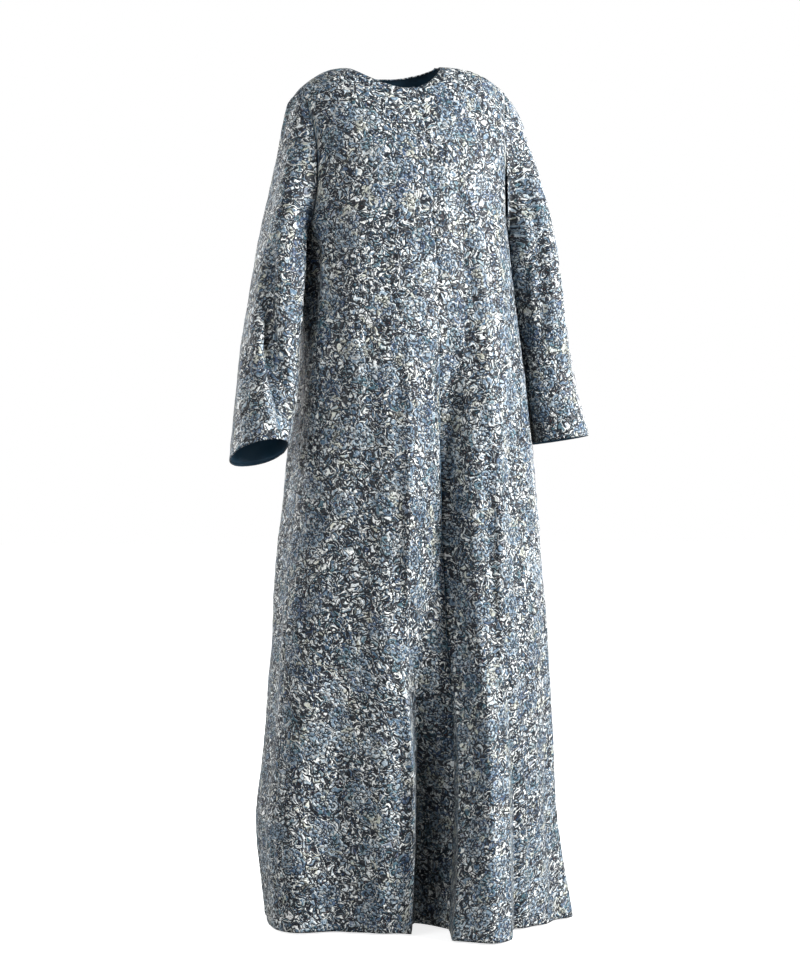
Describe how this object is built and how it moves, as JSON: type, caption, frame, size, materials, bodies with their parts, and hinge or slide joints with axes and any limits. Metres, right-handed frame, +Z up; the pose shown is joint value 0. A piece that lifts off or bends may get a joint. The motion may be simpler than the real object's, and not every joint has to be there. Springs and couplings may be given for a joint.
{
  "type": "kaftan gown",
  "caption": "Floor-length A-line kaftan gown with a full-length lapped front opening, a round collarless neck and straight wide sleeves lined at the cuffs",
  "frame": {"origin": "in the middle of the neck opening, level with the neck points of the shoulders, where the wearer holds the gown up", "axes": "+Z up, -Y the front, +X the wearer's left"},
  "size_m": [0.664, 0.5031, 1.5128],
  "materials": {
    "jacquard": "dense floral jacquard in slate blue, navy, teal and ivory, with a soft sheen",
    "lining": "plain dark teal navy lining, smooth"
  },
  "bodies": {
    "root": {"right_front": "jacquard", "left_front": "jacquard", "back": "jacquard", "right_sleeve": "jacquard", "left_sleeve": "jacquard", "right_sleeve_lining": "lining", "left_sleeve_lining": "lining"}
  },
  "joints": []
}
